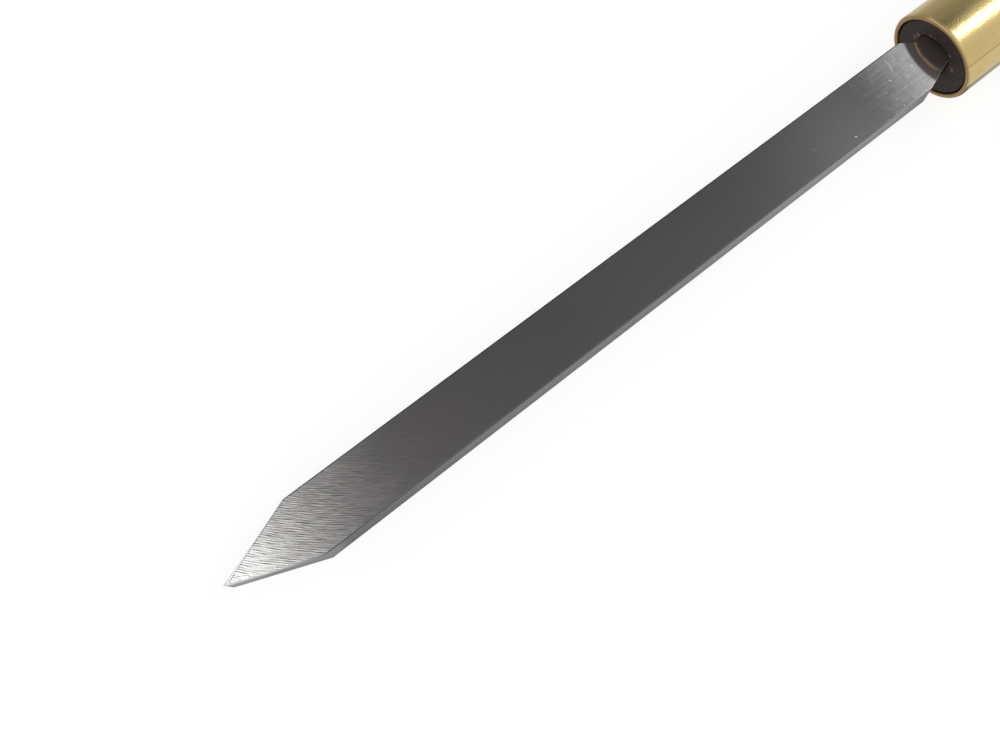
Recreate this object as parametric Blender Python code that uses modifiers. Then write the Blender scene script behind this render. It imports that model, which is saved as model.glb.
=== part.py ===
import math

import bmesh
import bpy

# Sizes in metres. The tool lies along X with its point toward -X and its wide sides facing up and down.
BAR_THICKNESS = 0.00635
BAR_DEPTH = 0.0127
BAR_SHOWING = 0.1772
UPPER_BEVEL_LENGTH = 0.0154
LOWER_BEVEL_LENGTH = 0.0162
POINT_OFFSET = 0.00025
EDGE_BREAK = 0.00018

# The bar narrows to the tang ahead of the ferrule, steeply above and in a longer slope below.
UPPER_SHOULDER_AHEAD = 0.0050
UPPER_SHOULDER_LENGTH = 0.0030
LOWER_SHOULDER_LENGTH = 0.0072
TANG_MOUTH_UPPER = 0.0043
TANG_MOUTH_LOWER = 0.0039
TANG_END_HALF = 0.0026
TANG_LENGTH = 0.070

FERRULE_DIAMETER = 0.0218
FERRULE_WALL = 0.00115
FERRULE_LENGTH = 0.028
FERRULE_RIM_ROUND = 0.00045

# Clearances between the pieces.
TANG_GAP = 0.00035
TENON_GAP = 0.00025
SHOULDER_GAP = 0.00030
END_GRAIN_RECESS = 0.0007

HANDLE_LENGTH = 0.254
HANDLE_SWELL_DIAMETER = 0.0320
HANDLE_NECK_DIAMETER = 0.0244
HANDLE_BEAD_DIAMETER = 0.0268
HANDLE_WAIST_DIAMETER = 0.0262
HANDLE_BUTT_DIAMETER = 0.0298
HANDLE_BEAD_LENGTH = 0.0070
BUTT_DOME_LENGTH = 0.0110
PILOT_DEPTH = 0.042
BORE_BOTTOM_ROOM = 0.004

TURN_STEPS = 40

OVERALL_LENGTH = BAR_SHOWING + HANDLE_LENGTH
AXIS_HEIGHT = HANDLE_SWELL_DIAMETER / 2
POINT_X = -OVERALL_LENGTH / 2
FERRULE_FRONT_X = POINT_X + BAR_SHOWING
FERRULE_REAR_X = FERRULE_FRONT_X + FERRULE_LENGTH
BUTT_X = FERRULE_FRONT_X + HANDLE_LENGTH
FERRULE_BORE_RADIUS = FERRULE_DIAMETER / 2 - FERRULE_WALL


def tang_half(mouth, inside):
    return mouth + (TANG_END_HALF - mouth) * inside / TANG_LENGTH


def bore_radius(inside):
    widest = tang_half(max(TANG_MOUTH_UPPER, TANG_MOUTH_LOWER), inside)
    return math.hypot(widest, BAR_THICKNESS / 2) + TANG_GAP


def clear_scene():
    for old in list(bpy.data.objects):
        bpy.data.objects.remove(old, do_unlink=True)


def make_material(name, colour, roughness, metallic):
    material = bpy.data.materials.new(name)
    material.use_nodes = True
    shader = material.node_tree.nodes["Principled BSDF"]
    shader.inputs["Base Color"].default_value = (*colour, 1.0)
    shader.inputs["Roughness"].default_value = roughness
    shader.inputs["Metallic"].default_value = metallic
    return material


def add_object(name, data, home, material):
    piece = bpy.data.objects.new(name, data)
    home.objects.link(piece)
    data.materials.clear()
    data.materials.append(material)
    return piece


def bar_outline():
    half = BAR_DEPTH / 2
    tang_end_x = FERRULE_FRONT_X + TANG_LENGTH
    shoulder_end = UPPER_SHOULDER_LENGTH - UPPER_SHOULDER_AHEAD
    return [
        (POINT_X, POINT_OFFSET),
        (POINT_X + LOWER_BEVEL_LENGTH, -half),
        (FERRULE_FRONT_X - LOWER_SHOULDER_LENGTH, -half),
        (FERRULE_FRONT_X, -TANG_MOUTH_LOWER),
        (tang_end_x, -TANG_END_HALF),
        (tang_end_x, TANG_END_HALF),
        (FERRULE_FRONT_X + shoulder_end, tang_half(TANG_MOUTH_UPPER, shoulder_end)),
        (FERRULE_FRONT_X - UPPER_SHOULDER_AHEAD, half),
        (POINT_X + UPPER_BEVEL_LENGTH, half),
    ]


def make_blade(home, material):
    outline = bar_outline()
    curve = bpy.data.curves.new("blade_outline", "CURVE")
    curve.dimensions = "2D"
    curve.fill_mode = "BOTH"
    curve.extrude = BAR_THICKNESS / 2
    spline = curve.splines.new("POLY")
    spline.points.add(len(outline) - 1)
    for point, (x, y) in zip(spline.points, outline):
        point.co = (x, y, 0.0, 1.0)
    spline.use_cyclic_u = True
    pattern = bpy.data.objects.new("blade_pattern", curve)
    home.objects.link(pattern)
    graph = bpy.context.evaluated_depsgraph_get()
    mesh = bpy.data.meshes.new_from_object(pattern.evaluated_get(graph))
    mesh.name = "blade"
    bpy.data.objects.remove(pattern, do_unlink=True)

    work = bmesh.new()
    work.from_mesh(mesh)
    bmesh.ops.remove_doubles(work, verts=work.verts, dist=0.00001)
    bmesh.ops.recalc_face_normals(work, faces=work.faces)
    flat = [face for face in work.faces if abs(face.normal.z) > 0.9]
    inner = [edge for face in flat for edge in face.edges
             if all(abs(other.normal.z) > 0.9 for other in edge.link_faces)]
    bmesh.ops.dissolve_edges(work, edges=list(set(inner)), use_verts=False)
    # Break the sharp corners round both wide sides, leaving the cutting edge across the point sharp.
    rim = [edge for edge in work.edges
           if sum(abs(face.normal.z) > 0.9 for face in edge.link_faces) == 1]
    bmesh.ops.bevel(work, geom=rim, offset=EDGE_BREAK, offset_type="OFFSET", segments=1,
                    profile=0.5, affect="EDGES", clamp_overlap=True)
    bmesh.ops.triangulate(work, faces=work.faces)
    bmesh.ops.translate(work, verts=work.verts, vec=(0.0, 0.0, AXIS_HEIGHT))
    bmesh.ops.recalc_face_normals(work, faces=work.faces)
    work.to_mesh(mesh)
    work.free()
    return add_object("blade", mesh, home, material)


def turn(name, profile, closed, home, material):
    # A profile of (x, radius) points is spun about the tool axis.
    count = len(profile)
    links = [(i, i + 1) for i in range(count - 1)]
    if closed:
        links.append((count - 1, 0))
    mesh = bpy.data.meshes.new(name)
    mesh.from_pydata([(x, 0.0, radius) for x, radius in profile], links, [])
    piece = add_object(name, mesh, home, material)
    piece.location.z = AXIS_HEIGHT
    spin = piece.modifiers.new("turned", "SCREW")
    spin.axis = "X"
    spin.steps = TURN_STEPS
    spin.render_steps = TURN_STEPS
    spin.use_merge_vertices = True
    spin.merge_threshold = 0.00001
    spin.use_smooth_shade = True
    spin.use_normal_calculate = True
    return piece


def corner_round(centre_x, centre_r, radius, start, stop, steps):
    points = []
    for i in range(steps + 1):
        angle = math.radians(start + (stop - start) * i / steps)
        points.append((centre_x + radius * math.cos(angle), centre_r + radius * math.sin(angle)))
    return points


def make_ferrule(home, material):
    outer = FERRULE_DIAMETER / 2
    inner = FERRULE_BORE_RADIUS
    rim = FERRULE_RIM_ROUND
    front = FERRULE_FRONT_X
    rear = FERRULE_REAR_X
    profile = corner_round(front + rim, inner + rim, rim, 270, 180, 3)
    profile += corner_round(front + rim, outer - rim, rim, 180, 90, 3)
    profile += corner_round(rear - rim / 2, outer - rim / 2, rim / 2, 90, 0, 2)
    profile += [(rear, inner)]
    return turn("ferrule", profile, True, home, material)


def smooth_stations(stations, steps):
    # A cubic through the stations, flat where the slope changes sign, so the curve never overshoots.
    xs = [x for x, r in stations]
    rs = [r for x, r in stations]
    rises = [(rs[i + 1] - rs[i]) / (xs[i + 1] - xs[i]) for i in range(len(xs) - 1)]
    slopes = [rises[0]]
    for before, after in zip(rises, rises[1:]):
        slopes.append(0.0 if before * after <= 0 else 2 * before * after / (before + after))
    slopes.append(rises[-1])
    points = []
    for i in range(len(xs) - 1):
        span = xs[i + 1] - xs[i]
        for k in range(steps):
            t = k / steps
            a = 2 * t ** 3 - 3 * t ** 2 + 1
            b = t ** 3 - 2 * t ** 2 + t
            c = 3 * t ** 2 - 2 * t ** 3
            d = t ** 3 - t ** 2
            points.append((xs[i] + span * t,
                           a * rs[i] + b * span * slopes[i] + c * rs[i + 1] + d * span * slopes[i + 1]))
    points.append((xs[-1], rs[-1]))
    return points


def make_handle(home, material):
    end_x = FERRULE_FRONT_X + END_GRAIN_RECESS
    pilot_x = FERRULE_FRONT_X + PILOT_DEPTH
    bottom_x = FERRULE_FRONT_X + TANG_LENGTH + BORE_BOTTOM_ROOM
    mouth = bore_radius(0)
    pilot = bore_radius(PILOT_DEPTH)
    tenon = FERRULE_BORE_RADIUS - TENON_GAP
    shoulder_x = FERRULE_REAR_X + SHOULDER_GAP
    neck = HANDLE_NECK_DIAMETER / 2
    bead = HANDLE_BEAD_DIAMETER / 2
    profile = [(bottom_x + pilot * 0.5, 0.0), (bottom_x, pilot), (pilot_x, pilot),
               (pilot_x - (mouth - pilot), mouth), (end_x, mouth),
               (end_x, tenon - 0.0004), (end_x + 0.0004, tenon), (shoulder_x, tenon),
               (shoulder_x, neck - 0.0006)]
    for i in range(7):
        angle = math.pi * i / 6
        profile.append((shoulder_x + 0.0005 + HANDLE_BEAD_LENGTH * i / 6,
                        neck + (bead - neck) * math.sin(angle)))
    body_x = profile[-1][0] + 0.0012
    dome_x = BUTT_X - BUTT_DOME_LENGTH
    length = dome_x - body_x
    butt = HANDLE_BUTT_DIAMETER / 2
    profile += smooth_stations([
        (body_x, neck),
        (body_x + 0.11 * length, (neck + HANDLE_SWELL_DIAMETER) / 3 + 0.0003),
        (body_x + 0.30 * length, HANDLE_SWELL_DIAMETER / 2),
        (body_x + 0.73 * length, HANDLE_WAIST_DIAMETER / 2),
        (dome_x, butt)], 6)
    for i in range(1, 8):
        angle = math.pi / 2 * i / 7
        profile.append((dome_x + BUTT_DOME_LENGTH * math.sin(angle), butt * math.cos(angle)))
    profile[-1] = (BUTT_X, 0.0)
    return turn("handle", profile, False, home, material)


clear_scene()
tool = bpy.data.collections.new("parting_tool")
bpy.context.scene.collection.children.link(tool)
steel = make_material("tool_steel", (0.20, 0.20, 0.205), 0.32, 1.0)
brass = make_material("ferrule_brass", (0.78, 0.56, 0.22), 0.22, 1.0)
wood = make_material("stained_wood", (0.085, 0.040, 0.026), 0.42, 0.0)
make_blade(tool, steel)
make_ferrule(tool, brass)
make_handle(tool, wood)
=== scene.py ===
import math

import bmesh
import bpy
from mathutils import Euler, Matrix, Vector


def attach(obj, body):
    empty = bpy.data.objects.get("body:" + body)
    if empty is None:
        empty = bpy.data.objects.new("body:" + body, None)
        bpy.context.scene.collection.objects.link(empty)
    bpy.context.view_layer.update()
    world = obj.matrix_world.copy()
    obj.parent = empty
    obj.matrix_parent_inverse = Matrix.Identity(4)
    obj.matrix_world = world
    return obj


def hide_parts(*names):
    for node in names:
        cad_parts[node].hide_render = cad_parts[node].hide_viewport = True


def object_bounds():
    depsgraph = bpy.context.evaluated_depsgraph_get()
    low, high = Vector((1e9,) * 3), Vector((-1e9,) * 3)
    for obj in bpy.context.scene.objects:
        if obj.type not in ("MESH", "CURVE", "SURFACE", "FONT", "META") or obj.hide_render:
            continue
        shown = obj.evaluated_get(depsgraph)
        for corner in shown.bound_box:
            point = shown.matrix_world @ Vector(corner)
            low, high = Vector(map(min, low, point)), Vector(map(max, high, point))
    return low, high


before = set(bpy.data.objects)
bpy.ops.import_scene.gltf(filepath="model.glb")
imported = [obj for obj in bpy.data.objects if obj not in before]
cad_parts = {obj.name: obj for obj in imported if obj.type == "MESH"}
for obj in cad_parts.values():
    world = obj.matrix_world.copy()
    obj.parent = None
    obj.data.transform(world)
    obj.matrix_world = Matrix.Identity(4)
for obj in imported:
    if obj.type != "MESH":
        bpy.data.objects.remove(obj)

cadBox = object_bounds()
axisZ = (cadBox[0][2] + cadBox[1][2]) / 2  # height of the tool's axis
pointX = cadBox[0][0]  # the cutting point
showing = 0.1772  # length of the bar ahead of the ferrule
ferruleX = pointX + showing  # front of the ferrule
weldGap = 0.000002  # vertices nearer than this are joined
nearGap = 0.0001  # a vertex nearer than this lies at a station
facing = 0.9  # a face looks along an axis when its normal passes this


def deselectAll():
    if bpy.context.object and bpy.context.object.mode != "OBJECT":
        bpy.ops.object.mode_set(mode="OBJECT")
    bpy.ops.object.select_all(action="DESELECT")


def openMesh(name):
    piece = bpy.context.active_object
    piece.name = name
    piece.data.name = name
    bpy.ops.object.mode_set(mode="EDIT")
    return piece


def pick(piece, kind, test):
    bpy.ops.mesh.select_mode(type=kind)
    bpy.ops.mesh.select_all(action="DESELECT")
    mesh = bmesh.from_edit_mesh(piece.data)
    mesh.normal_update()
    items = {"VERT": mesh.verts, "EDGE": mesh.edges, "FACE": mesh.faces}[kind]
    for item in items:
        if test(item):
            item.select_set(True)
    mesh.select_flush_mode()
    bmesh.update_edit_mesh(piece.data)


def slide(x=0.0, y=0.0, z=0.0):
    bpy.ops.transform.translate(value=(x, y, z))


def pushOut(x=0.0, y=0.0, z=0.0):
    bpy.ops.mesh.extrude_region_move(TRANSFORM_OT_translate={"value": (x, y, z)})


# bring what is picked to one y
def flatten(y):
    bpy.ops.transform.resize(value=(1, 0, 1), center_override=(0, y, axisZ))


def closeMesh(piece):
    bpy.ops.mesh.select_all(action="SELECT")
    bpy.ops.mesh.remove_doubles(threshold=weldGap)
    bpy.ops.mesh.normals_make_consistent(inside=False)
    bpy.ops.object.mode_set(mode="OBJECT")
    print(piece.name, "faces", len(piece.data.polygons))
    return piece


def hand(piece, node, material):
    piece.data.materials.clear()
    piece.data.materials.append(material)
    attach(piece, "root")
    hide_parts(node)


# One wrapped socket: sums on it add Math nodes, and node() adds any other kind.
class Wire:
    def __init__(self, tree, socket=None):
        self.tree = tree
        self.socket = socket

    def node(self, kind, settings=None, inputs=None, output=0):
        made = self.tree.nodes.new(kind)
        for key, value in (settings or {}).items():
            setattr(made, key, value)
        for key, value in (inputs or {}).items():
            if isinstance(value, Wire):
                self.tree.links.new(value.socket, made.inputs[key])
            else:
                made.inputs[key].default_value = value
        return Wire(self.tree, made.outputs[output] if len(made.outputs) else None)

    def math(self, operation, a, b=0.0):
        return self.node("ShaderNodeMath", {"operation": operation}, {0: a, 1: b})

    def __add__(self, other):
        return self.math("ADD", self, other)

    def __radd__(self, other):
        return self.math("ADD", other, self)

    def __sub__(self, other):
        return self.math("SUBTRACT", self, other)

    def __rsub__(self, other):
        return self.math("SUBTRACT", other, self)

    def __mul__(self, other):
        return self.math("MULTIPLY", self, other)

    def __rmul__(self, other):
        return self.math("MULTIPLY", other, self)

    def __abs__(self):
        return self.math("ABSOLUTE", self)

    # 0 at low and 1 at high, eased between; it falls where low lies above high
    def ease(self, low, high):
        inputs = {"Value": self, "From Min": low, "From Max": high}
        return self.node("ShaderNodeMapRange", {"interpolation_type": "SMOOTHSTEP"}, inputs)

    # 1 within core of the centre and 0 beyond rim
    def stripe(self, centre, core, rim):
        return abs(self - centre).ease(rim, core)

    # length of two offsets at right angles
    def reach(self, other):
        return self.math("SQRT", self * self + other * other)

    def most(self, other):
        return self.math("MAXIMUM", self, other)

    # a noise about zero, where it was about a half
    def swing(self):
        return self - 0.5

    def mix(self, a, b):
        pair = [(*side, 1.0) if isinstance(side, tuple) else side for side in (a, b)]
        return self.node("ShaderNodeMix", {"data_type": "RGBA"}, {0: self, 6: pair[0], 7: pair[1]}, 2)

    def noise(self, x, y, z, detail):
        place = self.node("ShaderNodeCombineXYZ", None, {0: x, 1: y, 2: z})
        return self.node("ShaderNodeTexNoise", None, {"Vector": place, "Scale": 1.0, "Detail": detail})


# noise with one scale along the first axis and one across it
def grainNoise(axes, plan):
    x, y, z = axes
    length, width, detail = plan
    return x.noise(x * length, y * width, z * width, detail)


# lay the colour of each mask over what is there, by its share
def paint(colour, masks, layers):
    for name, mask in masks.items():
        share, tint = layers[name]
        colour = (mask * share).mix(colour, tint)
    return colour


# a plain value, changed by each mask times its share
def weigh(plain, masks, shares):
    for name, mask in masks.items():
        plain = plain + mask * shares[name]
    return plain


def newMaterial(name, constants):
    material = bpy.data.materials.new(name)
    material.use_nodes = True
    tree = material.node_tree
    shader = tree.nodes["Principled BSDF"]
    for socket, value in constants.items():
        shader.inputs[socket].default_value = value
    place = Wire(tree).node("ShaderNodeTexCoord", None, None, "Object")
    split = place.node("ShaderNodeSeparateXYZ", None, {0: place})
    axes = [Wire(tree, output) for output in split.socket.node.outputs]
    return material, shader, axes


def feed(shader, socket, wire):
    wire.tree.links.new(wire.socket, shader.inputs[socket])


def bump(height, relief):
    inputs = {"Height": height, "Strength": relief["strength"], "Distance": relief["distance"]}
    return height.node("ShaderNodeBump", None, inputs, "Normal")


# upper is toward +y and lower toward -y; layers of paint are a share and a colour
blade = {
    "depth": 0.0127,
    "thickness": 0.00635,
    "upperBevel": 0.0154,
    "lowerBevel": 0.0162,
    "pointOffset": 0.00025,  # the point lies above the middle of the depth
    "upperShoulder": (-0.0050, -0.0020),  # start and end, from the ferrule
    "lowerShoulder": (-0.0072, 0.0),
    "mouth": (0.00435, 0.0039),  # the tang's upper and lower reach at the hole
    "tangEnd": (0.070, 0.0026),  # depth in the handle and half width
    "edgeBreak": 0.00018,
    "edgeSegments": 3,
    "slantShine": (0.5, 0.5, 0.5, 1.0),  # worn steel shines less at a slant

    # stretches along the bar, from the point; a falling pair fades out
    "spans": {
        "keenHighlight": (0.014, 0.001),
        "grind": (0.044, 0.012),
        "body": (0.045, 0.085),
        "middle": (0.085, 0.130),
        "near": (0.140, 0.174),
        "faintStart": (0.016, 0.030),
        "faintEnd": (0.070, 0.034),
        "bevelTop": (0.018, 0.006),
        "edgeLightAndShade": (0.0155, 0.013),
        "farCorner": (0.015, 0.017),
        "narrowTip": (0.010, 0.001),
        "narrowPoint": (0.0205, 0.0180),
        "narrow": (0.022, 0.070),
        "rearStart": (0.080, 0.145),
        "rearEnd": (0.170, 0.160),
        "narrowTang": (0.1735, 0.1765),
        "edgePoint": (0.0175, 0.013),
        "edgeLitRear": (0.150, 0.166),
    },
    "tip": (0.038, 0.002),
    "tipWander": 0.016,
    "tipSlant": 0.3,
    # where the painted highlight near the ferrule begins, and how far its edge wanders
    "bright": (0.1545, 0.1745),
    "brightWander": 0.006,
    "topDepth": (0.0021, 0.0017),  # depth of the bright top of the bevels
    "wideDepth": (0.000006, 0.000002),  # what lies no deeper is a wide side
    "edgeDepth": (0.00022, 0.00017),
    "litSide": (0.001, -0.001),
    "lowStart": 0.001,  # painted shade: the narrow sides darken below this height

    # grinding marks: scale along and across their run, detail, offset
    "marks": {
        "fine": (360, 5200, 1.0, 0.0),
        "broad": (150, 3100, 1.0, 0.0),
        "deep": (170, 3900, 0.0, 7.3),
        "patch": (60, 300, 2.0, 0.0),
        "wander": (150, 430, 1.0, 0.0),
        "dash": (520, 2600, 0.0, 0.0),
    },
    "markDepth": 300,  # scale through the thickness
    "markTurn": math.radians(-39),
    "markLean": 0.44,  # shift of the marks down the bevels
    "markFan": 0.2,
    "markBow": 5.6,
    "combPitch": 16500,
    "combWander": 11,
    "combRest": 0.10,  # strength of the comb between its dashes
    "dashRange": (0.38, 0.64),
    "faintBand": (0.46, 0.0, 0.04),

    # lines along the bar: scale along and across it, detail
    "lines": {"brush": (80, 4000, 3.0), "cloud": (60, 240, 3.0), "smudge": (750, 420, 3.0)},

    # how far each kind of mark changes the tone
    "amounts": {
        "brush": 0.06,
        "brushNear": 0.42,
        "cloud": 0.08,
        "smudge": 0.22,
        "fine": 1.6,
        "patch": 0.3,
        "comb": 0.54,
        "faint": 0.22,
    },

    "roughness": {"plain": 0.27, "tip": 0.05, "near": -0.13, "mirroredEnd": 0.30, "narrow": 0.12, "edge": 0.25},
    "relief": {"fine": 0.6, "comb": 0.5, "brush": 0.08, "strength": 0.25, "distance": 0.00003},

    "wideFront": (0.346, 0.332, 0.328),
    "wideLayers": {
        "body": (1.0, (0.346, 0.338, 0.352)),
        # painted shade: the middle of the bar is darker
        "middle": (1.0, (0.270, 0.265, 0.276)),
        # painted highlight near the ferrule
        "bright": (1.0, (0.68, 0.68, 0.685)),
        # lighter ground steel at the point with a painted highlight over it, near white at the keen
        # point
        "groundAndHighlight": (1.0, (0.682, 0.669, 0.652)),
        "keenHighlight": (1.0, (0.95, 0.94, 0.92)),
    },
    # the narrow sides: painted shade and painted light along the bar
    "narrowFront": (0.222, 0.217, 0.215),
    "narrowLayers": {
        "body": (1.0, (0.285, 0.279, 0.276)),
        "rear": (1.0, (0.405, 0.385, 0.365)),
        "point": (1.0, (0.355, 0.350, 0.352)),
        "tip": (1.0, (0.47, 0.463, 0.46)),
        "low": (0.25, (0.05, 0.05, 0.05)),
        "tang": (1.0, (0.45, 0.44, 0.43)),
    },
    # painted shade: the broken corners are painted dark; near the point, and on the lower edge near the
    # ferrule, they are painted lighter as painted light
    "edgeShadeColour": (0.12, 0.118, 0.117),
    "edgeLayers": {
        "wornAndLit": (1.0, (0.34, 0.34, 0.34)),
        "point": (1.0, (0.34, 0.335, 0.33)),
    },
    "edgeLightAndShade": {
        "widen": 0.028,
        "corner": (0.0005, 0.0003),  # depth of the corner it lies on
        "broken": (0.35, 0.6),
        "unbroken": 0.4,
        "shadow": (0.00070, 0.00062),
        "line": (0.00052, 0.00044),
        "rolledShade": (0.00016, 0.00006),
        "far": (-0.00034, -0.00020),
        "layers": {
            # painted shadow, painted highlight, and painted shade on the rolled edge and in the far
            # corner
            "shadow": (0.75, (0.10, 0.10, 0.10)),
            "line": (1.0, (0.82, 0.82, 0.81)),
            "rolledShade": (0.7, (0.22, 0.22, 0.22)),
            "far": (0.6, (0.03, 0.03, 0.03)),
        },
    },
    "specks": {"noise": (1400, 1400, 1.0), "range": (0.73, 0.77), "share": 0.6},
    "scratch": {
        "along": 0.16417,
        "across": 0.00376,
        "radius": 0.00236,
        "width": (0.00005, 0.00012),
        "way": (0.985, -0.174),  # the arc lies on this side of its centre
        "reach": (0.0016, 0.0022),
        "share": 1.1,
    },
    "nickSquash": 0.5,
    "nickCore": 0.6,
    "nickShare": 1.2,
    "nickSide": (0.0, 0.001),  # only the wide side that looks up has nicks
    "nickGlintColour": (0.98, 0.98, 0.98),
    # along the bar, across it, size
    "nicks": [(0.1704, 0.0004, 0.00022), (0.1638, 0.0006, 0.00019), (0.1677, -0.0009, 0.00013),
              (0.1685, 0.0045, 0.00013), (0.1680, 0.0035, 0.00012), (0.1688, 0.0021, 0.00012),
              (0.1616, -0.0036, 0.00010), (0.1619, -0.0057, 0.00011), (0.1653, -0.0054, 0.00011),
              (0.1481, -0.0047, 0.00017), (0.1388, -0.0015, 0.00009)],
    # painted reflection of the handle's end in the wide sides, drawn as circles mirrored about the end
    # grain
    "mirroredEnd": {
        "stretch": 1.37,
        "lead": 0.003175,
        "slant": 0.35,
        "rim": (0.0118, 0.0106),
        "thick": (0.0078, 0.0060),
        "ragged": 0.0012,
        "amber": (0.0078, 0.00016, 0.00062),
        "mirroredBoreEdgeSide": (-0.0052, -0.0022),
        "dulling": 0.85,
        "layers": {
            "mirroredEnd": (1.0, (0.098, 0.086, 0.080)),
            "thick": (1.0, (0.062, 0.050, 0.044)),
            "amber": (0.8, (0.34, 0.22, 0.12)),
        },
    },
}


def makeBlade():
    half = blade["depth"] / 2
    upperStart, upperEnd = blade["upperShoulder"]
    lowerStart, lowerEnd = blade["lowerShoulder"]
    upperMouth, lowerMouth = blade["mouth"]
    tangDepth, tangHalf = blade["tangEnd"]
    barStart = pointX + blade["upperBevel"]
    barEnd = ferruleX + upperStart
    mouthX = ferruleX + upperEnd
    tangX = ferruleX + tangDepth / 2
    deselectAll()
    bpy.ops.mesh.primitive_cube_add(size=1)
    piece = openMesh("bladeSteel")
    bpy.ops.mesh.select_all(action="SELECT")
    bpy.ops.transform.resize(value=(barEnd - barStart, blade["depth"], blade["thickness"]))
    slide((barStart + barEnd) / 2, 0, axisZ)

    # draw the front out to the cutting edge
    pick(piece, "FACE", lambda face: face.normal.x < -facing)
    pushOut(x=-blade["upperBevel"])
    flatten(blade["pointOffset"])
    bpy.ops.mesh.remove_doubles(threshold=weldGap)
    pick(piece, "VERT", lambda v: abs(v.co.x - barStart) < nearGap and v.co.y < 0)
    slide(x=blade["lowerBevel"] - blade["upperBevel"])

    # the shoulders, then the tang that goes into the handle
    pick(piece, "FACE", lambda face: face.normal.x > facing)
    pushOut(x=upperEnd - upperStart)
    pick(piece, "VERT", lambda v: abs(v.co.x - mouthX) < nearGap and v.co.y > 0)
    slide(y=upperMouth - half)
    pick(piece, "VERT", lambda v: abs(v.co.x - mouthX) < nearGap and v.co.y < 0)
    slide(x=lowerEnd - upperEnd, y=half - lowerMouth)
    pick(piece, "VERT", lambda v: abs(v.co.x - barEnd) < nearGap and v.co.y < 0)
    slide(x=lowerStart - upperStart)
    pick(piece, "FACE", lambda face: face.normal.x > facing)
    pushOut(x=tangDepth)
    pick(piece, "VERT", lambda v: v.co.x > tangX and v.co.y > 0)
    slide(x=-upperEnd, y=tangHalf - upperMouth)
    pick(piece, "VERT", lambda v: v.co.x > tangX and v.co.y < 0)
    slide(y=lowerMouth - tangHalf)

    # break the corners round both wide sides
    def onRim(edge):
        return sum(abs(face.normal.z) > facing for face in edge.link_faces) == 1
    pick(piece, "EDGE", onRim)
    bpy.ops.mesh.bevel(offset=blade["edgeBreak"], segments=blade["edgeSegments"], affect="EDGES")
    return closeMesh(piece)


# painted light and shade along the upper bevel's edge: a painted highlight line, widest at the point,
# with a painted shadow line inside it and painted shade on the rolled edge, and painted shade in the
# corner behind the bevel
def paintEdgeLightAndShade(colour, along, y, up, wide, span, broad):
    plan = blade["edgeLightAndShade"]
    half = blade["thickness"] / 2
    slope = math.atan2(blade["depth"] / 2 - blade["pointOffset"], blade["upperBevel"])
    inward = along * math.sin(slope) - (y - blade["pointOffset"]) * math.cos(slope)
    inward = inward + along * plan["widen"]
    short = span["edgeLightAndShade"]
    corner = up.ease(*(half - depth for depth in plan["corner"]))
    broken = broad.ease(*plan["broken"]) * (1 - plan["unbroken"]) + plan["unbroken"]
    masks = {
        "shadow": inward.ease(*plan["shadow"]) * broken * wide * short,
        "line": inward.ease(*plan["line"]) * short * corner,
        "rolledShade": inward.ease(*plan["rolledShade"]) * short * corner,
        "far": (y - blade["depth"] / 2).ease(*plan["far"]) * span["farCorner"],
    }
    return paint(colour, masks, plan["layers"])


# small nicks and one curved scratch ahead of the ferrule: real marks, painted near white as painted
# glints
def nickMask(axes, along, run, cross, near):
    turn = blade["markTurn"]
    specks = blade["specks"]
    nick = grainNoise(axes, specks["noise"]).ease(*specks["range"]) * near * specks["share"]
    for place, across, size in blade["nicks"]:
        off = run - (place * math.cos(turn) + across * math.sin(turn))
        rise = cross - (across * math.cos(turn) - place * math.sin(turn))
        spot = (off * blade["nickSquash"]).reach(rise).ease(size, size * blade["nickCore"])
        nick = nick + spot * blade["nickShare"]
    scratch = blade["scratch"]
    aside = along - scratch["along"]
    above = axes[1] - scratch["across"]
    wayX, wayY = scratch["way"]
    curl = aside.reach(above).stripe(scratch["radius"], *scratch["width"])
    curl = curl * (aside * wayX + above * wayY).ease(*scratch["reach"])
    return nick.math("MINIMUM", nick + curl * scratch["share"], 1.0)


# painted reflection on the wide sides of the handle's end, where the tang goes into the wood: the dark
# end grain, the darker hole, and an amber line for the bore's pale edge
def mirroredEndMasks(along, y, wide, smudge):
    plan = blade["mirroredEnd"]
    ahead = showing - along
    ring = (ahead * plan["stretch"] + plan["lead"]).reach(y + ahead * plan["slant"])
    amber = (ring + smudge * plan["ragged"]).stripe(*plan["amber"])
    return {
        "mirroredEnd": ring.ease(*plan["rim"]) * wide,
        "thick": ring.ease(*plan["thick"]) * wide,
        "amber": amber * y.ease(*plan["mirroredBoreEdgeSide"]) * wide,
    }


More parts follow.
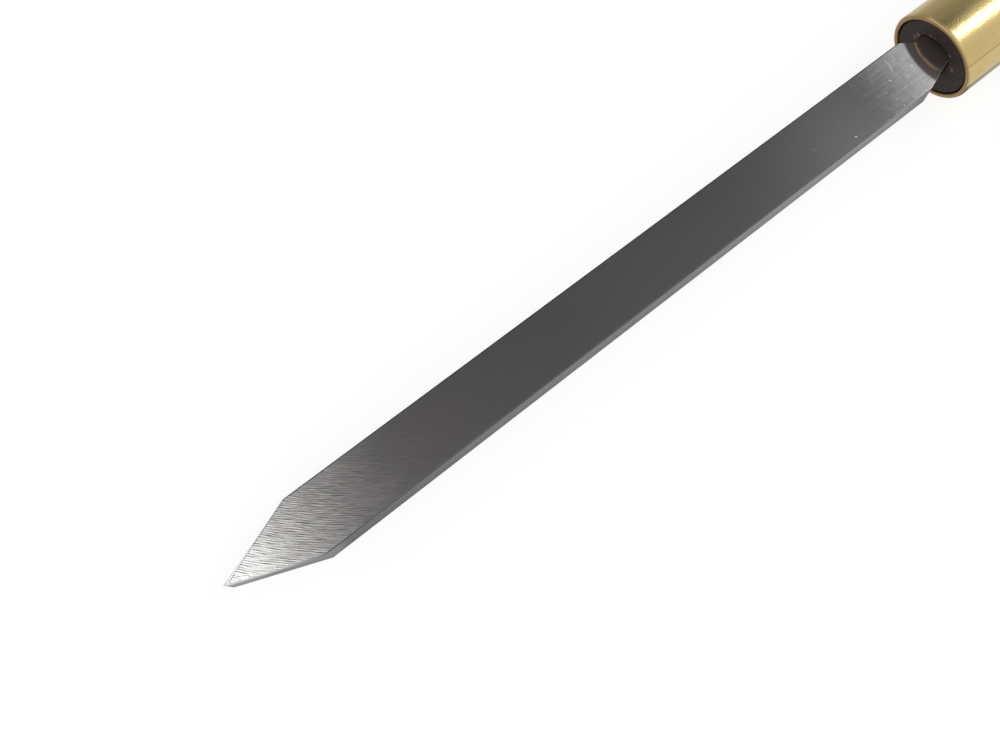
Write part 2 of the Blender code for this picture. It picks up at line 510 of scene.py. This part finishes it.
def steelMaterial():
    material, shader, axes = newMaterial("groundSteel", {"Specular Tint": blade["slantShine"]})
    x, y, z = axes
    half = blade["thickness"] / 2
    along = x - pointX
    over = z - axisZ
    up = abs(over)
    span = {name: along.ease(*ends) for name, ends in blade["spans"].items()}
    near = span["near"]
    wide = up.ease(*(half - depth for depth in blade["wideDepth"]))
    top = over.ease(*(half - depth for depth in blade["topDepth"])) * span["bevelTop"]
    face = wide.most(top)

    # marks across the point, fanned a little, that run on over the top of the bevels
    turn = blade["markTurn"]
    run = along * math.cos(turn) + y * math.sin(turn)
    cross = y * math.cos(turn) - along * math.sin(turn) + (over - half) * blade["markLean"]
    bowed = cross + run * blade["markFan"] - run * run * blade["markBow"]
    marks = {}
    for name, (length, width, detail, offset) in blade["marks"].items():
        marks[name] = x.noise(run * length + offset, bowed * width, up * blade["markDepth"], detail)
    fine = marks["fine"]
    patch = marks["patch"].swing()
    dash = marks["dash"].ease(*blade["dashRange"])
    comb = x.math("SINE", bowed * blade["combPitch"] + marks["wander"] * blade["combWander"])
    comb = comb * (blade["combRest"] + dash * (1 - blade["combRest"]))
    faint = marks["deep"].stripe(*blade["faintBand"]) * span["faintStart"] * span["faintEnd"]
    tip = (along + patch * blade["tipWander"] - y * blade["tipSlant"]).ease(*blade["tip"])
    grind = span["grind"] * face

    # fine lines along the bar, clearest near the handle
    lines = {name: grainNoise(axes, plan) for name, plan in blade["lines"].items()}
    brush = lines["brush"].swing()
    smudge = lines["smudge"].swing()
    cloud = lines["cloud"].swing()
    amount = blade["amounts"]
    line = brush * (amount["brush"] + near * amount["brushNear"])
    line = line + cloud * amount["cloud"] + smudge * near * amount["smudge"]
    streak = fine.swing() * amount["fine"] + patch * amount["patch"] + comb * amount["comb"]
    tone = 1 + line + streak * grind + faint * wide * amount["faint"]

    # the wide sides: painted shade in the middle of the bar, a painted highlight near the ferrule, and
    # lighter ground steel at the point under a painted highlight
    bright = along + smudge * blade["brightWander"] + brush * blade["brightWander"]
    body = paint(blade["wideFront"], {
        "body": span["body"],
        "middle": span["middle"],
        "bright": bright.ease(*blade["bright"]),
        "groundAndHighlight": tip,
        "keenHighlight": span["keenHighlight"],
    }, blade["wideLayers"])

    # the narrow sides and the broken corners; the narrow sides carry painted shade and painted light for
    # what they mirror, darkest just behind the bevels and toward the bottom, lighter toward the point,
    # toward the handle and on the tang
    side = paint(blade["narrowFront"], {
        "body": span["narrow"],
        "rear": span["rearStart"] * span["rearEnd"],
        "point": span["narrowPoint"],
        "tip": span["narrowTip"],
        "low": over.ease(blade["lowStart"], -half),
        "tang": span["narrowTang"],
    }, blade["narrowLayers"])
    # the broken corners: painted shade, with painted light near the point and on the lower edge near the
    # ferrule
    edge = up.ease(*(half - depth for depth in blade["edgeDepth"])) * (1 - face)
    corner = paint(blade["edgeShadeColour"], {
        "wornAndLit": span["edgeLitRear"] * y.ease(*blade["litSide"]),
        "point": span["edgePoint"],
    }, blade["edgeLayers"])
    body = face.mix(edge.mix(side, corner), body)
    grey = tone.node("ShaderNodeCombineColor", None, {0: tone, 1: tone, 2: tone})
    settings = {"data_type": "RGBA", "blend_type": "MULTIPLY"}
    colour = grey.node("ShaderNodeMix", settings, {0: 1.0, 6: body, 7: grey}, 2)

    # what lies over the tone: the painted highlight and shade along the edge, the nicks painted as
    # glints, and the painted reflection of the handle's end
    colour = paintEdgeLightAndShade(colour, along, y, up, wide, span, marks["broad"])
    nicks = nickMask(axes, along, run, cross, near) * wide * over.ease(*blade["nickSide"])
    colour = nicks.mix(colour, blade["nickGlintColour"])
    masks = mirroredEndMasks(along, y, wide, smudge)
    mirroredEnd = masks["mirroredEnd"]
    feed(shader, "Base Color", paint(colour, masks, blade["mirroredEnd"]["layers"]))
    feed(shader, "Metallic", 1 - mirroredEnd * blade["mirroredEnd"]["dulling"])
    rough = blade["roughness"]
    masks = {"tip": tip, "near": near * wide, "mirroredEnd": mirroredEnd, "narrow": 1 - wide, "edge": edge}
    feed(shader, "Roughness", weigh(rough["plain"], masks, rough))
    relief = blade["relief"]
    height = (fine * relief["fine"] + comb * relief["comb"]) * grind
    height = height + lines["brush"] * (1 + near) * relief["brush"]
    feed(shader, "Normal", bump(height, relief))
    return material


# a single vertex is drawn along the profile, and the line is spun about the tool's axis
def turnProfile(name, points, steps):
    deselectAll()
    bpy.ops.mesh.primitive_plane_add()
    piece = openMesh(name)
    bpy.ops.mesh.select_mode(type="VERT")
    bpy.ops.mesh.select_all(action="SELECT")
    bpy.ops.mesh.merge(type="CENTER")
    slide(points[0][0], 0, points[0][1] + axisZ)
    for (x0, r0), (x1, r1) in zip(points, points[1:]):
        bpy.ops.mesh.extrude_vertices_move(TRANSFORM_OT_translate={"value": (x1 - x0, 0, r1 - r0)})
    bpy.ops.mesh.select_all(action="SELECT")
    bpy.ops.mesh.spin(steps=steps, angle=2 * math.pi, center=(0, 0, axisZ), axis=(1, 0, 0))
    return closeMesh(piece)


def arc(centreX, centreR, radius, start, stop, steps):
    points = []
    for i in range(steps + 1):
        angle = math.radians(start + (stop - start) * i / steps)
        points.append((centreX + radius * math.cos(angle), centreR + radius * math.sin(angle)))
    return points


ferrule = {
    "radius": 0.0109,
    "wall": 0.00115,
    "length": 0.028,
    "lip": 0.0008,  # rounding of the front rim outside
    "lipSteps": 12,
    "rim": 0.00035,  # rounding of the front rim inside and the rear one outside
    "rimSteps": 4,
    "turnSteps": 160,
    "smoothAngle": math.radians(40),
    "constants": {"Metallic": 1.0, "Coat Weight": 0.15, "Specular Tint": (0.90, 0.86, 0.78, 1.0)},

    # noises: scale along and across, detail
    "noises": {"cloud": (130, 130, 3.0), "peel": (2000, 2000, 1.0), "speck": (1500, 1500, 1.0)},
    "drawn": (60, 90, 3.0),  # scale along the tube and round it, detail
    "tarnishRange": (0.45, 0.8),
    "speckRange": (0.70, 0.78),

    # angles round the tube, from +y toward the top; a falling pair fades out
    "zones": {
        # painted reflections: a tan zone, a dim zone and a dark line round the tube
        "tanStart": (1.92, 2.12),
        "tanEnd": (2.505, 2.485),
        "duskStart": (-0.3, 0.3),
        "dimReflectionStart": (0.58, 0.86),
        "dimReflectionEnd": (1.2, 0.97),
    },
    "zoneWander": 0.04,
    "dusk": 0.84,  # strength before the painted dark reflection begins in full
    "horizonReflection": (2.46, 0.008, 0.03),
    "upperSide": (0.978, 0.208),  # the way to the painted dark reflection line on each side
    "upperReach": (0.01048, 0.01079),
    "lowerSide": (-0.9925, -0.1219),
    "lowerReach": (0.0103, 0.0106),
    "rimDepth": (0.00045, 0.0001),
    "wornDepth": (0.0013, 0.0006),

    "brass": (0.59, 0.455, 0.205),
    "layers": {
        "tarnish": (0.45, (0.50, 0.36, 0.145)),
        # painted reflections: tan, dim, the dark lines along both sides and the dark horizon line
        "tanReflection": (0.55, (0.56, 0.40, 0.175)),
        "dimReflection": (0.5, (0.275, 0.205, 0.088)),
        "upperLine": (0.9, (0.20, 0.16, 0.09)),
        "lowerLine": (0.95, (0.06, 0.048, 0.036)),
        "horizonReflection": (0.45, (0.30, 0.20, 0.085)),
        "speck": (0.5, (0.20, 0.13, 0.06)),
        "rim": (0.9, (0.27, 0.165, 0.078)),
    },
    "roughness": {"plain": 0.16, "drawn": 0.08, "tarnish": 0.036, "wornAndLit": 0.24},
    "relief": {"cloud": 0.4, "peel": 5.0, "strength": 0.10, "distance": 0.00005},
}


def makeFerrule():
    radius = ferrule["radius"]
    inner = radius - ferrule["wall"]
    lip = ferrule["lip"]
    rim = ferrule["rim"]
    rimSteps = ferrule["rimSteps"]
    rear = ferruleX + ferrule["length"]
    points = arc(ferruleX + rim, inner + rim, rim, 270, 180, rimSteps)
    points += arc(ferruleX + lip, radius - lip, lip, 180, 90, ferrule["lipSteps"])
    points += arc(rear - rim, radius - rim, rim, 90, 0, rimSteps)
    points += [(rear, inner), points[0]]
    piece = turnProfile("ferruleBrass", points, ferrule["turnSteps"])
    bpy.ops.object.shade_smooth_by_angle(angle=ferrule["smoothAngle"])
    return piece


def brassMaterial():
    material, shader, axes = newMaterial("polishedBrass", ferrule["constants"])
    x, y, z = axes
    up = z - axisZ
    deep = x - ferruleX
    around = y.math("ARCTAN2", up, y)
    noises = {name: grainNoise(axes, plan) for name, plan in ferrule["noises"].items()}
    cloud = noises["cloud"]
    length, width, detail = ferrule["drawn"]
    drawn = x.noise(x * length, around * width, 0.0, detail)
    wave = around + cloud.swing() * ferrule["zoneWander"]
    zone = {name: wave.ease(*ends) for name, ends in ferrule["zones"].items()}

    # tarnish in clouds; painted reflections in zones round the tube and in dark lines along it
    tarnish = cloud.ease(*ferrule["tarnishRange"])
    dimReflection = zone["duskStart"] * ferrule["dusk"] + zone["dimReflectionStart"]
    upperY, upperZ = ferrule["upperSide"]
    lowerY, lowerZ = ferrule["lowerSide"]
    colour = paint(ferrule["brass"], {
        "tarnish": tarnish,
        "tanReflection": zone["tanStart"] * zone["tanEnd"],
        "dimReflection": dimReflection * zone["dimReflectionEnd"],
        "upperLine": (y * upperY + up * upperZ).ease(*ferrule["upperReach"]),
        "lowerLine": (y * lowerY + up * lowerZ).ease(*ferrule["lowerReach"]),
        "horizonReflection": around.stripe(*ferrule["horizonReflection"]),
        "speck": noises["speck"].ease(*ferrule["speckRange"]),
        "rim": deep.ease(*ferrule["rimDepth"]),
    }, ferrule["layers"])
    feed(shader, "Base Color", colour)
    rough = ferrule["roughness"]
    masks = {"drawn": drawn, "tarnish": tarnish, "wornAndLit": deep.ease(*ferrule["wornDepth"])}
    feed(shader, "Roughness", weigh(rough["plain"], masks, rough))
    relief = ferrule["relief"]
    height = weigh(drawn, {"cloud": cloud, "peel": noises["peel"]}, relief)
    feed(shader, "Normal", bump(height, relief))
    return material


handle = {
    "length": 0.254,
    "recess": 0.0004,  # the end grain lies behind the ferrule's front
    "shoulderGap": 0.0003,
    "tenonGap": 0.00025,
    "tenonRound": 0.0004,
    "tenonSteps": 4,
    "mouth": 0.00569,
    "mouthBreak": (0.0003, 0.0002),  # length and height of the hole's broken rim
    "flats": (0.0047, -0.0042),
    "pilot": 0.00496,
    "pilotDepth": 0.042,
    "boreDepth": 0.074,
    "boreTip": 0.5,  # length of the cone at the bottom, in radii
    "neck": 0.0122,
    "neckBreak": (0.0005, 0.0006),
    "bead": 0.0134,
    "beadLength": 0.0070,
    "beadSteps": 16,
    "quirk": 0.0012,  # flat behind the bead
    "shares": (0.11, 0.30, 0.73),  # places of the rise, the swell and the waist
    "fullness": 0.0003,
    "swell": 0.0160,
    "waist": 0.0131,
    "butt": 0.0149,
    "bodySteps": 14,
    "dome": 0.0110,
    "domeSteps": 16,
    "turnSteps": 128,
    "smoothAngle": math.radians(35),
    "constants": {"Specular IOR Level": 0.2, "Coat Roughness": 0.22},
    "coat": 0.6,

    # noises: scale along the grain and across it, detail
    "noises": {
        "warp": (14, 60, 2.0),
        "rings": (5, 330, 4.0),
        "pores": (160, 2600, 2.0),
        "fibre": (400, 1700, 3.0),
        "torn": (2300, 2300, 2.0),
    },
    "ringDrift": (0.6, 2.0),
    "ringRange": (0.32, 0.68),
    "poreRange": (0.60, 0.72),
    "fibreRange": (0.3, 0.75),
    "endDepth": (0.0014, 0.0010),  # how deep the bare end goes
    "boreStart": (0.0007, 0.0011),
    "boreEnd": (0.010, 0.006),  # past the bore's bottom
    "boreSide": (0.0003, 0.0001),  # past the hole's radius
    "rawReach": (0.0026, 0.0034),  # the bore's bare wall is painted palest at the height of the axis, partly as painted light where shade falls beside the tang

    "dark": (0.022, 0.011, 0.008),
    "endDark": (0.021, 0.016, 0.014),
    "boreWall": (0.12, 0.085, 0.072),
    "layers": {
        "stain": (1.0, (0.070, 0.030, 0.018)),
        "pore": (0.75, (0.008, 0.005, 0.004)),
        "endGrain": (1.0, (0.041, 0.030, 0.0255)),
        "chip": (0.75, (0.20, 0.115, 0.080)),
        "rawWoodAndLight": (1.0, (0.40, 0.33, 0.28)),
    },
    "roughness": {"plain": 0.36, "pores": 0.15, "end": 0.25},
    "relief": {"rings": 0.3, "pores": -0.5, "strength": 0.15, "distance": 0.0001},
    "chipRough": 0.0022,
    "chipCore": 0.5,
    # across, up, size
    "chips": [(0.0056, 0.0014, 0.0006), (0.0050, 0.0029, 0.0006), (0.0024, 0.0053, 0.0006),
              (0.0013, 0.0056, 0.0005), (-0.0034, 0.0048, 0.0006), (-0.0057, 0.0017, 0.0007)],
}


# a smooth line through the stations that doesn't overshoot them
def throughStations(stations, steps):
    xs = [x for x, r in stations]
    rs = [r for x, r in stations]
    rises = [(rs[i + 1] - rs[i]) / (xs[i + 1] - xs[i]) for i in range(len(xs) - 1)]
    slopes = [rises[0]]
    for before, after in zip(rises, rises[1:]):
        slopes.append(0.0 if before * after <= 0 else 2 * before * after / (before + after))
    slopes.append(rises[-1])
    points = []
    for i in range(len(xs) - 1):
        span = xs[i + 1] - xs[i]
        for k in range(steps):
            t = k / steps
            a = 2 * t ** 3 - 3 * t ** 2 + 1
            b = t ** 3 - 2 * t ** 2 + t
            c = 3 * t ** 2 - 2 * t ** 3
            d = t ** 3 - t ** 2
            radius = a * rs[i] + b * span * slopes[i] + c * rs[i + 1] + d * span * slopes[i + 1]
            points.append((xs[i] + span * t, radius))
    points.append((xs[-1], rs[-1]))
    return points


# the hole and the end grain, from the bottom of the bore to the tenon's front corner
def borePoints(endX, pilotX, tenon):
    bottomX = ferruleX + handle["boreDepth"]
    mouth = handle["mouth"]
    pilot = handle["pilot"]
    breakLength, breakHeight = handle["mouthBreak"]
    corner = handle["tenonRound"]
    points = [
        (bottomX + pilot * handle["boreTip"], 0.0),
        (bottomX, pilot),
        (pilotX, pilot),
        (pilotX - mouth + pilot, mouth),
        (endX + breakLength, mouth),
        (endX, mouth + breakHeight),
        (endX, (mouth + tenon) / 2),
    ]
    return points + arc(endX + corner, tenon - corner, corner, 180, 90, handle["tenonSteps"])


def makeHandle():
    endX = ferruleX + handle["recess"]
    pilotX = ferruleX + handle["pilotDepth"]
    shoulderX = ferruleX + ferrule["length"] + handle["shoulderGap"]
    tenon = ferrule["radius"] - ferrule["wall"] - handle["tenonGap"]
    neck = handle["neck"]
    swell = handle["swell"]
    points = borePoints(endX, pilotX, tenon)
    breakLength, breakHeight = handle["neckBreak"]
    points += [(shoulderX, tenon), (shoulderX, neck - breakHeight)]
    for i in range(handle["beadSteps"] + 1):
        share = i / handle["beadSteps"]
        points.append((shoulderX + breakLength + handle["beadLength"] * share,
                       neck + (handle["bead"] - neck) * math.sin(math.pi * share)))
    bodyX = points[-1][0] + handle["quirk"]
    domeX = ferruleX + handle["length"] - handle["dome"]
    rise, full, slim = (bodyX + share * (domeX - bodyX) for share in handle["shares"])
    points += throughStations([
        (bodyX, neck),
        (rise, (neck + swell * 2) / 3 + handle["fullness"]),
        (full, swell),
        (slim, handle["waist"]),
        (domeX, handle["butt"])], handle["bodySteps"])
    for i in range(1, handle["domeSteps"] + 1):
        angle = math.pi / 2 * i / handle["domeSteps"]
        points.append((domeX + handle["dome"] * math.sin(angle), handle["butt"] * math.cos(angle)))
    points[-1] = (domeX + handle["dome"], 0.0)
    piece = turnProfile("handleWood", points, handle["turnSteps"])

    # the hole closes in beside the tang's narrow sides
    mouthRim = handle["mouth"] + handle["mouthBreak"][1] + nearGap
    stopX = pilotX - nearGap
    bpy.ops.object.mode_set(mode="EDIT")
    for flat in handle["flats"]:
        def beyond(v):
            inBore = math.hypot(v.co.y, v.co.z - axisZ) < mouthRim and v.co.x < stopX
            return inBore and v.co.y / flat > 1
        pick(piece, "VERT", beyond)
        flatten(flat)
    bpy.ops.object.mode_set(mode="OBJECT")
    bpy.ops.object.shade_smooth_by_angle(angle=handle["smoothAngle"])
    return piece


def woodMaterial():
    material, shader, axes = newMaterial("stainedWood", handle["constants"])
    x, y, z = axes
    noises = handle["noises"]
    layers = handle["layers"]
    up = z - axisZ
    warp = grainNoise(axes, noises["warp"])
    driftX, driftZ = handle["ringDrift"]
    length, width, detail = noises["rings"]
    rings = x.noise(x * length + warp * driftX, y * width, up * width + warp * driftZ, detail)
    pores = grainNoise(axes, noises["pores"]).ease(*handle["poreRange"])
    masks = {"stain": rings.ease(*handle["ringRange"]), "pore": pores}
    colour = paint(handle["dark"], masks, layers)

    # bare wood in the bore and on the end
    depth = x - ferruleX
    bore = depth.ease(*handle["boreStart"])
    bore = bore * depth.ease(*(handle["boreDepth"] + past for past in handle["boreEnd"]))
    inside = y.reach(up).ease(*(handle["mouth"] + past for past in handle["boreSide"])) * bore
    end = depth.ease(*handle["endDepth"]).most(inside)

    # end grain round the tang, torn a little at the hole's rim
    length, width, detail = noises["fibre"]
    fibre = x.noise(y * width, up * width, x * length, detail)
    bare = paint(handle["endDark"], {"endGrain": fibre.ease(*handle["fibreRange"])}, layers)
    torn = grainNoise((y, up, x), noises["torn"]).swing() * handle["chipRough"]
    for away, height, size in handle["chips"]:
        far = (y - away).reach(up - height) + torn
        bare = paint(bare, {"chip": far.ease(size, size * handle["chipCore"])}, layers)
    # the bore's bare wall, lightened at the axis's height: bare wood and painted light over the shade
    # beside the tang
    wall = paint(handle["boreWall"], {"rawWoodAndLight": up.stripe(0.0, *handle["rawReach"])}, layers)
    feed(shader, "Base Color", end.mix(colour, inside.mix(bare, wall)))
    rough = handle["roughness"]
    feed(shader, "Roughness", weigh(rough["plain"], {"pores": pores, "end": end}, rough))
    feed(shader, "Coat Weight", (1 - end) * handle["coat"])
    relief = handle["relief"]
    feed(shader, "Normal", bump(weigh(fibre * end, {"rings": rings, "pores": pores}, relief), relief))
    return material


hand(makeBlade(), "blade", steelMaterial())
hand(makeFerrule(), "ferrule", brassMaterial())
hand(makeHandle(), "handle", woodMaterial())
print("pieces done")

floorPlan = {
    "size": 12.0,
    "pivot": (0.036, 0.0, -0.0003),  # under the handle's swell
    "lean": math.radians(2.75),  # the tool rests on its swell and its point
    "colour": (0.9, 0.9, 0.9, 1.0),
    "glowColour": (1.0, 1.0, 1.0, 1.0),
    "white": 0.8,  # share of the glow where the floor is seen
    "glow": 1.06,
}


# the floor glows where it is seen, straight or mirrored, and is matt to other light
def floorMaterial():
    material = bpy.data.materials.new("paleFloor")
    material.use_nodes = True
    tree = material.node_tree
    tree.nodes.clear()
    start = Wire(tree)
    path = start.node("ShaderNodeLightPath")
    camera, glossy, through = (Wire(tree, path.socket.node.outputs[name])
                               for name in ("Is Camera Ray", "Is Glossy Ray", "Is Transmission Ray"))
    seen = camera.most(glossy).most(through)
    matt = start.node("ShaderNodeBsdfDiffuse", None, {"Color": floorPlan["colour"]})
    light = {"Color": floorPlan["glowColour"], "Strength": floorPlan["glow"]}
    glow = start.node("ShaderNodeEmission", None, light)
    both = start.node("ShaderNodeMixShader", None, {0: seen * floorPlan["white"], 1: matt, 2: glow})
    start.node("ShaderNodeOutputMaterial", None, {0: both})
    return material


def makeFloor():
    deselectAll()
    bpy.ops.mesh.primitive_plane_add(size=floorPlan["size"])
    floor = openMesh("paleFloor")
    bpy.ops.mesh.select_all(action="SELECT")
    slide(*floorPlan["pivot"])
    pivot = Vector(floorPlan["pivot"])
    tilt = Matrix.Rotation(floorPlan["lean"], 4, "Y")
    about = Matrix.Translation(pivot) @ tilt @ Matrix.Translation(-pivot)
    mesh = bmesh.from_edit_mesh(floor.data)
    bmesh.ops.transform(mesh, matrix=about, verts=mesh.verts)
    bmesh.update_edit_mesh(floor.data)
    bpy.ops.object.mode_set(mode="OBJECT")
    floor.data.materials.append(floorMaterial())


studio = {
    "colour": (1.0, 1.0, 1.0, 1.0),
    "level": 1.0,
    "dims": [  # darker stretches of ceiling: way, inner and outer angle, level
        ((0.12, 0.36, 0.925), 19.0, 35.0, 0.12),
        ((0.56, 0.62, 0.55), 10.0, 28.0, 0.38),
    ],
}


def makeWorld():
    world = bpy.data.worlds.new("softStudio")
    bpy.context.scene.world = world
    world.use_nodes = True
    tree = world.node_tree
    tree.nodes.clear()
    start = Wire(tree)
    way = start.node("ShaderNodeTexCoord", None, None, "Generated")
    level = studio["level"]
    for aim, inner, outer, low in studio["dims"]:
        ends = {0: way, 1: tuple(Vector(aim).normalized())}
        near = way.node("ShaderNodeVectorMath", {"operation": "DOT_PRODUCT"}, ends, 1)
        dim = near.ease(math.cos(math.radians(outer)), math.cos(math.radians(inner)))
        level = level * (1 - dim * (1 - low))
    sky = way.node("ShaderNodeBackground", None, {"Color": studio["colour"], "Strength": level})
    start.node("ShaderNodeOutputWorld", None, {0: sky})


lamps = {
    "overFerrule": {
        "from": (0.62, -0.12, 0.775),
        "at": (ferruleX + 0.01, 0.0, axisZ),
        "far": 0.7,
        "size": 0.22,
        "watts": 0.76,
    },
    "overPoint": {
        "from": (-0.34, 0.22, 0.91),
        "at": (pointX, 0.0, axisZ),
        "far": 0.7,
        "size": 0.15,
        "watts": 0.30,
    },
}


def makeLamps():
    for name, plan in lamps.items():
        light = bpy.data.lights.new(name, "AREA")
        light.size = plan["size"]
        light.energy = plan["watts"]
        lamp = bpy.data.objects.new(name, light)
        bpy.context.scene.collection.objects.link(lamp)
        way = Vector(plan["from"]).normalized()
        lamp.location = Vector(plan["at"]) + way * plan["far"]
        lamp.rotation_mode = "QUATERNION"
        lamp.rotation_quaternion = (-way).to_track_quat("-Z", "Y")


shot = {
    "place": (-0.173491, -0.044168, 0.204954),
    "turn": (23.7192, -2.5803, -38.9988),  # degrees about x, y and z
    "sensor": 36.0,
    "lens": 35.802,
    "shift": (-0.125, -0.175),
    "clip": (0.005, 50.0),
}


def makeCamera():
    camera = bpy.data.cameras.new("shot")
    camera.sensor_width = shot["sensor"]
    camera.lens = shot["lens"]
    camera.shift_x, camera.shift_y = shot["shift"]
    camera.clip_start, camera.clip_end = shot["clip"]
    holder = bpy.data.objects.new("shot", camera)
    bpy.context.scene.collection.objects.link(holder)
    turn = Euler([math.radians(angle) for angle in shot["turn"]])
    holder.matrix_world = Matrix.LocRotScale(Vector(shot["place"]), turn, None)
    bpy.context.scene.camera = holder


makeFloor()
makeWorld()
makeLamps()
makeCamera()
bpy.context.scene.view_settings.view_transform = "Standard"
print("stage done")
